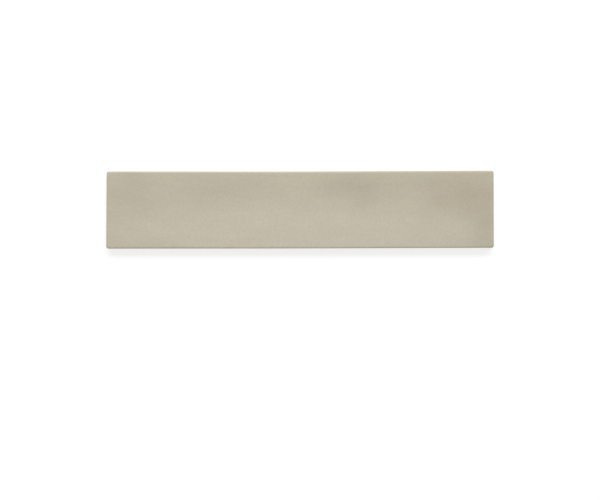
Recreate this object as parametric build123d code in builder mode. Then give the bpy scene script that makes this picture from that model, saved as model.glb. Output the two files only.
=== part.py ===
"""Glazed floor tile in a long brick format, dry pressed and fired as one piece.

The tile lies face up on its ribbed back. X runs along its length, Y across its width and Z up through its
thickness, with the origin under its middle on the plane of the back ribs. All sizes are in millimetres.
"""

import os
from math import floor

from build123d import *

# Overall size, across the widest part of the sides
tile_length = 300.0
tile_width = 60.0
tile_thickness = 9.0

# Outline seen from above: firing has left the edges a little out of true
far_edge_hollow = 0.35  # how far the middle of the far long edge lies inside its corners
near_edge_swell = 0.15  # how far the middle of the near long edge stands outside its corners
left_end_lean = 0.5  # how far the left end's far corner lies inside its near corner
corner_radius = 1.8

# Edge section: a soft glazed edge, an upright land below it, then the draft that frees the tile from its die
cushion_radius = 1.5
land_height = 1.5
draft_inset = 0.3  # how far the draft has drawn the sides in at the back
back_arris = 0.4  # chamfer round the back

# Back: a lattice of ribs round shallow drafted cells, which key the tile into its adhesive bed
cell_size = 15.0
cell_depth = 0.6
cell_draft = 35.0  # degrees
cell_corner_radius = 2.0
rib_width = 3.0
back_margin = 3.5  # least plain border between the cells and the arris

half_length = tile_length / 2
half_width = tile_width / 2
draft_height = tile_thickness - cushion_radius - land_height


def cells_that_fit(overall):
    """How many cells lie side by side, with ribs between them, inside the back's margins."""
    field = overall - 2 * (draft_inset + back_arris + back_margin)
    return floor((field + rib_width) / (cell_size + rib_width))


with BuildPart() as tile:
    # Slab: two bowed long edges, two ends and four rounded corners
    with BuildSketch() as outline:
        near_left = (-half_length, near_edge_swell - half_width)
        near_right = (half_length, near_edge_swell - half_width)
        far_right = (half_length, half_width)
        far_left = (left_end_lean - half_length, half_width)
        with BuildLine():
            ThreePointArc(near_left, (0, -half_width), near_right)
            Line(near_right, far_right)
            ThreePointArc(far_right, (left_end_lean / 2, half_width - far_edge_hollow), far_left)
            Line(far_left, near_left)
        make_face()
        fillet(outline.vertices(), corner_radius)
    extrude(amount=tile_thickness)

    # Sides: the long taper of the draft below the land, and the cushioned edge of the face above it
    back = tile.faces().sort_by(Axis.Z)[0]
    chamfer(back.edges(), length=draft_inset, length2=draft_height, reference=back)
    fillet(tile.faces().sort_by(Axis.Z)[-1].edges(), cushion_radius)
    chamfer(tile.faces().sort_by(Axis.Z)[0].edges(), back_arris)

    # Keying cells, pressed into the back in rows and columns
    with BuildSketch():
        with GridLocations(
            cell_size + rib_width,
            cell_size + rib_width,
            cells_that_fit(tile_length),
            cells_that_fit(tile_width),
        ):
            RectangleRounded(cell_size, cell_size, cell_corner_radius)
    extrude(amount=cell_depth, taper=cell_draft, mode=Mode.SUBTRACT)

tile.part.label = "tile"
os.makedirs("parts", exist_ok=True)
export_step(tile.part, "parts/tile.step")
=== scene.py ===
from math import cos, e, radians, sin, tan

import bmesh
import bpy
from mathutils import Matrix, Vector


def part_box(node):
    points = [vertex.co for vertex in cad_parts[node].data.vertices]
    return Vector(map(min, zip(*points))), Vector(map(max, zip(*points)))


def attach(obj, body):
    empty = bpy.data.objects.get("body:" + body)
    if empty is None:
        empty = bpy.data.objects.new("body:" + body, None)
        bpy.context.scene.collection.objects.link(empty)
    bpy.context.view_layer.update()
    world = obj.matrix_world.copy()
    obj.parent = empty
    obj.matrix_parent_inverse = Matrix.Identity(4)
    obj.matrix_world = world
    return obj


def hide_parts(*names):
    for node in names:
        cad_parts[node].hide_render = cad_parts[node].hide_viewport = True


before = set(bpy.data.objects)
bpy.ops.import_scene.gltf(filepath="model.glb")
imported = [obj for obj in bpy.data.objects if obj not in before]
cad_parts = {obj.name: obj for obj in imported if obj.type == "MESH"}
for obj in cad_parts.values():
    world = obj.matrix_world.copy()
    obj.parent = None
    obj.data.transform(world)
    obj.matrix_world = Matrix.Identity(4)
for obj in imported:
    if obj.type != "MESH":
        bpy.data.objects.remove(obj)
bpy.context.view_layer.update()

# The tile: one brick-shaped piece of pale clay, dry pressed in a steel die, glazed on its face and fired
# once. The die leaves a soft cushioned edge, an upright land, drafted sides and a ribbed back with shallow
# square cells. Firing leaves the long edges slightly bowed and one end slightly out of square.

mm = 0.001

tile_low, tile_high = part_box("tile")
half_length = 150 * mm
half_width = 30 * mm
thickness = tile_high.z - tile_low.z

corner_radius = 1.8 * mm
cushion_radius = 1.5 * mm
land_height = 1.5 * mm
draft_inset = 0.3 * mm
back_arris = 0.4 * mm
arc_steps = 6

far_edge_hollow = 0.35 * mm
near_edge_swell = 0.15 * mm
left_end_lean = 0.5 * mm

wave_length = 26 * mm
wave_depth = 0.16 * mm

cell_size = 15 * mm
cell_depth = 0.6 * mm
cell_draft = radians(35)
cell_corner_radius = 2 * mm
cell_arc_steps = 5
cell_edge_radius = 0.3 * mm
rib_width = 3 * mm
cell_columns = 16
cell_rows = 3


def add_block(middle, size):
    """Adds a block with its place and size in its mesh, and opens it in edit mode."""
    bpy.ops.object.select_all(action="DESELECT")
    bpy.ops.mesh.primitive_cube_add(size=1, location=middle, scale=size)
    bpy.ops.object.transform_apply(location=True, rotation=True, scale=True)
    bpy.ops.object.mode_set(mode="EDIT")
    return bpy.context.object


def choose(kind, test):
    """In edit mode, selects just the faces or the edges that pass a test."""
    bpy.ops.mesh.select_mode(type={"faces": "FACE", "edges": "EDGE"}[kind])
    bpy.ops.mesh.select_all(action="DESELECT")
    cage = bmesh.from_edit_mesh(bpy.context.object.data)
    for element in getattr(cage, kind):
        if test(element):
            element.select_set(True)
    bmesh.update_edit_mesh(bpy.context.object.data)


def upright(edge):
    """Whether an edge stands straight up."""
    return abs((edge.verts[1].co - edge.verts[0].co).normalized().z) > 0.9


def faces_up(face):
    """Whether a face looks straight up."""
    return face.normal.z > 0.99


def faces_down(face):
    """Whether a face looks straight down."""
    return face.normal.z < -0.99


def round_edges(test, radius, steps):
    """In edit mode, rounds the edges that pass a test."""
    choose("edges", test)
    bpy.ops.mesh.bevel(offset=radius, segments=steps, affect="EDGES", clamp_overlap=False)


def cut(test, across, places):
    """In edit mode, cuts the faces that pass a test with planes across one axis, at places along it."""
    normal = {"x": (1, 0, 0), "y": (0, 1, 0)}[across]
    for place in places:
        choose("faces", test)
        point = [place * part for part in normal]
        bpy.ops.mesh.bisect(plane_co=point, plane_no=normal, threshold=1e-7)


def pick(piece):
    """Makes a piece the active one and the only one selected."""
    bpy.ops.object.select_all(action="DESELECT")
    piece.select_set(True)
    bpy.context.view_layer.objects.active = piece


def apply_modifier(kind, **settings):
    """Adds a modifier to the active piece, sets it and applies it."""
    bpy.ops.object.modifier_add(type=kind)
    modifier = bpy.context.object.modifiers[-1]
    for name, value in settings.items():
        setattr(modifier, name, value)
    bpy.ops.object.modifier_apply(modifier=modifier.name)


# The upper part of the slab, from the foot of the land to the face, with round corners and a cushioned edge
land_bottom = thickness - cushion_radius - land_height
tile = add_block(
    middle=(0, 0, (land_bottom + thickness) / 2),
    size=(2 * half_length, 2 * half_width, thickness - land_bottom),
)
tile.name = "glazed_tile"
tile.data.name = "glazed_tile"
round_edges(upright, corner_radius, arc_steps)
round_edges(lambda edge: any(faces_up(face) for face in edge.link_faces), cushion_radius, arc_steps)

# The drafted sides below the land, and the chamfered arris round the back
choose("faces", faces_down)
bpy.ops.mesh.inset(thickness=draft_inset, depth=land_bottom - back_arris)
bpy.ops.mesh.inset(thickness=back_arris, depth=back_arris)

# Cuts across the face and the sides, which let them bow and wave. The outermost leave a narrow flat shoulder
# beside the cushioned edge, so that the edge's shading doesn't spread over the face.
cut_spacing = 4 * mm
shoulder_width = 0.8 * mm
for axis, half in (("x", half_length), ("y", half_width)):
    inner = half - cushion_radius - shoulder_width
    steps = round(2 * inner / cut_spacing)
    places = [inner * (2 * step / steps - 1) for step in range(steps + 1)]
    cut(lambda face: not faces_down(face), axis, places)

# The face's points, with a weight that fades towards the cushioned edge, where the waves die away
choose("faces", faces_up)
bpy.ops.object.vertex_group_add()
tile.vertex_groups.active.name = "face"
bpy.ops.object.vertex_group_assign()
bpy.ops.mesh.select_all(action="SELECT")
bpy.ops.object.vertex_group_smooth(factor=0.5, repeat=2)
bpy.ops.object.mode_set(mode="OBJECT")

# The bow of the long edges and the lean of the left end, pulled with a lattice of three by two by two points
bpy.ops.object.select_all(action="DESELECT")
bpy.ops.object.add(type="LATTICE", location=(0, 0, thickness / 2))
kiln_warp = bpy.context.object
kiln_warp.scale = (2 * half_length, 2 * half_width, thickness)
kiln_warp.data.points_u = 3
kiln_warp.data.interpolation_type_u = "KEY_CATMULL_ROM"
kiln_warp.data.interpolation_type_v = "KEY_LINEAR"
kiln_warp.data.interpolation_type_w = "KEY_LINEAR"
for point in kiln_warp.data.points:
    in_middle = abs(point.co.x) < 0.1
    at_left_end = point.co.x < -0.1
    at_far_edge = point.co.y > 0
    if in_middle and at_far_edge:
        point.co_deform.y -= far_edge_hollow / (2 * half_width)
    if not in_middle and not at_far_edge:
        point.co_deform.y += near_edge_swell / (2 * half_width)
    if at_left_end and at_far_edge:
        point.co_deform.x += left_end_lean / (2 * half_length)
pick(tile)
apply_modifier("LATTICE", object=kiln_warp)
bpy.data.objects.remove(kiln_warp)

# The slow waves that the molten glaze leaves on the face, nearly all of them below its full height
glaze_waves = bpy.data.textures.new("glaze_waves", type="CLOUDS")
glaze_waves.noise_scale = wave_length
glaze_waves.noise_depth = 1
apply_modifier(
    "DISPLACE",
    texture=glaze_waves,
    texture_coords="LOCAL",
    direction="Z",
    vertex_group="face",
    mid_level=0.95,
    strength=wave_depth,
)
tile.vertex_groups.clear()

# The back, cut along the middles of the ribs, so that each keying cell lies in a panel of its own
cell_pitch = cell_size + rib_width
bpy.ops.object.mode_set(mode="EDIT")
for axis, count in (("x", cell_columns), ("y", cell_rows)):
    cut(faces_down, axis, [(index - count / 2) * cell_pitch for index in range(count + 1)])
bpy.ops.object.mode_set(mode="OBJECT")

# The keying cells: one block with round corners, narrowed to a soft mouth, a drafted wall and a soft foot,
# set out in columns and rows and cut from the back. It starts below the back, so that the mouth is open.
wall_slope = radians(90) - cell_draft
soft_reach = cell_edge_radius * tan(wall_slope / 2)
soft_rise = soft_reach * sin(wall_slope)
soft_run = soft_reach + soft_reach * cos(wall_slope)
wall_rise = cell_depth - 2 * soft_rise
wall_run = wall_rise * tan(cell_draft)
block_margin = soft_reach + soft_run
block_size = cell_size + 2 * block_margin
cell_blocks = add_block(
    middle=(
        (1 - cell_columns) / 2 * cell_pitch,
        (1 - cell_rows) / 2 * cell_pitch,
        -soft_rise - cell_depth / 2,
    ),
    size=(block_size, block_size, cell_depth),
)
round_edges(upright, cell_corner_radius + block_margin, cell_arc_steps)
choose("faces", faces_up)
for run, climb in ((2 * soft_run, 2 * soft_rise), (wall_run, wall_rise), (soft_run, soft_rise)):
    bpy.ops.mesh.inset(thickness=run, depth=climb)
bpy.ops.object.mode_set(mode="OBJECT")
for count, step in ((cell_columns, (cell_pitch, 0, 0)), (cell_rows, (0, cell_pitch, 0))):
    apply_modifier(
        "ARRAY",
        count=count,
        use_relative_offset=False,
        use_constant_offset=True,
        constant_offset_displace=step,
    )
pick(tile)
apply_modifier("BOOLEAN", object=cell_blocks)
bpy.data.objects.remove(cell_blocks)
bpy.ops.object.shade_smooth_by_angle(angle=radians(25))


class Shade:
    """A socket in a node tree, on which Python's arithmetic adds Math nodes."""

    def __init__(self, tree, socket=None):
        self.tree = tree
        self.socket = socket

    def add(self, kind, settings, sockets, output=0):
        """Adds a node of any kind: its settings first, then a value or a link for each of its sockets."""
        node = self.tree.nodes.new("ShaderNode" + kind)
        for name, value in settings.items():
            setattr(node, name, value)
        for name, value in sockets.items():
            if isinstance(value, Shade):
                self.tree.links.new(value.socket, node.inputs[name])
            else:
                node.inputs[name].default_value = value
        return Shade(self.tree, node.outputs[output] if node.outputs else None)

    def math(self, operation, first, second):
        return self.add("Math", {"operation": operation}, {0: first, 1: second})

    def __add__(self, other):
        return self.math("ADD", self, other)

    def __sub__(self, other):
        return self.math("SUBTRACT", self, other)

    def __rsub__(self, other):
        return self.math("SUBTRACT", other, self)

    def __mul__(self, other):
        return self.math("MULTIPLY", self, other)

    def __truediv__(self, other):
        return self.math("DIVIDE", self, other)

    def __rpow__(self, other):
        return self.math("POWER", other, self)

    def __neg__(self):
        return 0 - self

    __radd__ = __add__
    __rmul__ = __mul__


def empty_nodes(owner):
    """Gives a material or a world an empty node tree to add to."""
    owner.use_nodes = True
    owner.node_tree.nodes.clear()
    return Shade(owner.node_tree)


def tone(red, green, blue):
    """A colour given as it looks on a screen, from 0 to 255, as the shader's own linear colour."""
    parts = [part / 255 for part in (red, green, blue)]
    return (*[part / 12.92 if part < 0.04045 else ((part + 0.055) / 1.055) ** 2.4 for part in parts], 1)


# The finish: a satin greige glaze with smoky clouds, paler and whiter on the cushioned edge, partly where
# the glaze runs thin and partly as a painted highlight. It ends in an uneven line on the sides, below which
# the pale fired clay is bare. Lengths in it are in mm.
greige = tone(188, 181, 161)
pale_greige = tone(195, 187, 168)
smoke_brown = tone(170, 159, 140)
smoke_blue = tone(170, 164, 144)
smoke_red = tone(169, 156, 136)
# The cushioned edge's paler, whiter tone: partly thin glaze, partly a painted highlight
thin_glaze_and_highlight = tone(210, 206, 197)
bare_clay = tone(208, 196, 176)
kiln_dust = tone(226, 220, 208)

satin_roughness = 0.36
clay_roughness = 0.9
glaze_thickness = 0.1
glaze_foot = 4.6
glaze_fade = 0.25
face_height = thickness / mm
# The height band and share of the paler cushioned edge, part thin glaze and part painted highlight
pale_edge_start = face_height - 0.1
pale_edge_end = face_height - 0.9
pale_edge_share = 0.5
dust_height = 0.12
dust_share = 0.55

# Each cloud has a tone, a strength, the place of its middle and its reach along and across the tile. A
# strength above 1 gives a cloud a level middle, where it covers what is under it.
clouds = {
    "pale band": (pale_greige, 2.2, (-13, -16), (107, 15)),
    "left end": (smoke_brown, 0.27, (-129, 18), (17, 22)),
    "brown drift": (smoke_brown, 0.22, (-60, 17), (34, 9)),
    "blue drift": (smoke_blue, 0.6, (47, 19), (28, 10)),
    "blue tail": (smoke_blue, 0.25, (49, 8), (14, 9)),
    "red drift": (smoke_red, 0.3, (98, 20), (20, 8)),
    "right end": (smoke_red, 0.6, (129, 12), (23, 14)),
    "right margin": (smoke_brown, 0.45, (147, -12), (12, 28)),
}


def scaled(vector, factor):
    """A place or a colour times a factor."""
    return vector.add("VectorMath", {"operation": "SCALE"}, {0: vector, "Scale": factor})


glaze = bpy.data.materials.new("satin_greige_glaze")
place = scaled(empty_nodes(glaze).add("TexCoord", {}, {}, "Object"), 1 / mm)
along, across, height = [place.add("SeparateXYZ", {}, {0: place}, axis) for axis in "XYZ"]


def mottle(size, detail=2, stretch=(1, 1, 1)):
    """Noise from -0.5 to 0.5 with spots of a given size, stretched along any axis."""
    stretched = place.add("VectorMath", {"operation": "DIVIDE"}, {0: place, 1: stretch})
    return place.add("TexNoise", {}, {"Vector": stretched, "Scale": 1 / size, "Detail": detail}) - 0.5


def blend(amount, under, over):
    """One colour laid over another by an amount from 0 to 1."""
    return place.add("Mix", {"data_type": "RGBA"}, {0: amount, 6: under, 7: over}, 2)


def rise(value, start, end):
    """A value eased from 0 at start to 1 at end."""
    return place.add(
        "MapRange", {"interpolation_type": "SMOOTHSTEP"}, {"Value": value, "From Min": start, "From Max": end}
    )


# The clouds, with outlines that drift in streaks along the tile
drift_stretch = (2.5, 1, 1)
drift_along = along + 34 * mottle(24, 3, drift_stretch)
drift_across = across + 12 * mottle(17, 3, drift_stretch)
colour = greige
for cloud_tone, strength, (middle_along, middle_across), (reach_along, reach_across) in clouds.values():
    off_along = (drift_along - middle_along) / reach_along
    off_across = (drift_across - middle_across) / reach_across
    cloud = e ** -(off_along * off_along + off_across * off_across)
    colour = blend(strength * cloud, colour, cloud_tone)

# The fine grain of the glaze, and the paler, whiter tone of the cushioned edge, partly thin glaze and partly
# a painted highlight
grain = mottle(1.9)
speckle = mottle(0.9, 1)
streaks = mottle(6, 3, (3, 1, 1))
colour = scaled(colour, 1 + 0.15 * grain + 0.24 * speckle + 0.09 * streaks)
colour = blend(pale_edge_share * rise(height, pale_edge_start, pale_edge_end), colour, thin_glaze_and_highlight)

# The bare clay, with the die's upright streaks on the sides and pale kiln dust on the ribs
clay_grain = mottle(0.7, 3)
die_streaks = mottle(0.9, 2, (1, 1, 14))
dust = rise(height, dust_height, 0) * rise(mottle(14, 4), -0.12, 0.2)
clay = blend(dust_share * dust, bare_clay, kiln_dust)
clay = scaled(clay, 1 + 0.22 * clay_grain + 0.12 * die_streaks)

# The uneven line where the glaze ends, a small step in height, and the two finishes on either side of it
glaze_line = glaze_foot + 1.6 * mottle(9, 3) + 0.8 * mottle(0.8)
glazed = rise(height, glaze_line - glaze_fade, glaze_line + glaze_fade)
finish_roughness = (satin_roughness + 0.1 * streaks) * glazed + clay_roughness * (1 - glazed)
glaze_relief = 0.012 * grain + 0.02 * mottle(4) + glaze_thickness
clay_relief = 0.09 * clay_grain + 0.06 * die_streaks
relief = glazed * glaze_relief + (1 - glazed) * clay_relief
surface = place.add(
    "BsdfPrincipled",
    {},
    {
        "Base Color": blend(glazed, clay, colour),
        "Roughness": finish_roughness,
        "Normal": place.add("Bump", {}, {"Height": relief, "Distance": mm}),
    },
)
place.add("OutputMaterial", {}, {"Surface": surface})

tile.data.materials.clear()
tile.data.materials.append(glaze)
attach(tile, "root")
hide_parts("tile")

# The ground: a broad matt white sheet that the tile lies on. To the eye it glows, so that it looks white
# where the light falls on it, and it keeps the soft shadow beside the tile.
ground_size = 8.0
ground_gap = 0.05 * mm
white = (1, 1, 1, 1)
sheet_white = (0.8, 0.8, 0.8, 1)
seen_grey = (0.42, 0.42, 0.42, 1)
seen_glow = 0.68


def seen_by_eye(nodes):
    """1 on rays that show a thing directly, in gloss or through glass, and 0 on rays that carry its light."""
    direct, in_gloss, through_glass = [
        nodes.add("LightPath", {}, {}, f"Is {kind} Ray") for kind in ("Camera", "Glossy", "Transmission")
    ]
    return nodes.math("MAXIMUM", nodes.math("MAXIMUM", direct, in_gloss), through_glass)


bpy.ops.object.select_all(action="DESELECT")
bpy.ops.mesh.primitive_plane_add(size=ground_size, location=(0, 0, tile_low.z - ground_gap))
ground = bpy.context.object
ground.name = "ground"
white_sheet = bpy.data.materials.new("white_sheet")
sheet_nodes = empty_nodes(white_sheet)
paper = sheet_nodes.add("BsdfDiffuse", {}, {"Color": sheet_white})
seen_paper = sheet_nodes.add("BsdfDiffuse", {}, {"Color": seen_grey})
glow = sheet_nodes.add("Emission", {}, {"Color": white, "Strength": seen_glow})
glowing_paper = sheet_nodes.add("AddShader", {}, {0: seen_paper, 1: glow})
sheet = sheet_nodes.add("MixShader", {}, {0: seen_by_eye(sheet_nodes), 1: paper, 2: glowing_paper})
sheet_nodes.add("OutputMaterial", {}, {"Surface": sheet})
ground.data.materials.append(white_sheet)

# The light: an even white studio, and one broad soft box beyond the far long edge that lights that edge and
# leaves the near edge in its own soft shade.
studio_light = 0.5
studio_white = 1.0
soft_box_place = (0.1, 1.0, 1.1)
soft_box_length = 2.4
soft_box_width = 0.7
soft_box_power = 19.2

studio = bpy.data.worlds.new("studio")
bpy.context.scene.world = studio
studio_nodes = empty_nodes(studio)
lit = studio_nodes.add("Background", {}, {"Color": white, "Strength": studio_light})
seen = studio_nodes.add("Background", {}, {"Color": white, "Strength": studio_white})
room = studio_nodes.add("MixShader", {}, {0: seen_by_eye(studio_nodes), 1: lit, 2: seen})
studio_nodes.add("OutputWorld", {}, {"Surface": room})

bpy.ops.object.light_add(type="AREA", location=soft_box_place)
soft_box = bpy.context.object
soft_box.name = "soft_box"
soft_box.data.shape = "RECTANGLE"
soft_box.data.size = soft_box_length
soft_box.data.size_y = soft_box_width
soft_box.data.energy = soft_box_power
soft_box.rotation_mode = "QUATERNION"
soft_box.rotation_quaternion = soft_box.location.to_track_quat("Z", "Y")

# The camera: straight above, with a long lens. The tile is as many pixels long as in the photograph, its
# middle lies as far above the picture's middle, and it is turned by the same fraction of a degree.
picture_width = 600
picture_height = 500
tile_pixels = 387.7
tile_middle_x = 300
tile_middle_y = 209.7
tile_turn = radians(0.13)
lens = 100
sensor = 36

pixel = 2 * half_length / tile_pixels
bpy.ops.object.camera_add()
camera = bpy.context.object
camera.data.lens = lens
camera.data.sensor_width = sensor
camera.location = (
    (picture_width / 2 - tile_middle_x) * pixel,
    (tile_middle_y - picture_height / 2) * pixel,
    thickness - cushion_radius + picture_width * pixel * lens / sensor,
)
camera.rotation_euler.z = -tile_turn
bpy.context.scene.camera = camera

bpy.context.scene.view_settings.view_transform = "Standard"
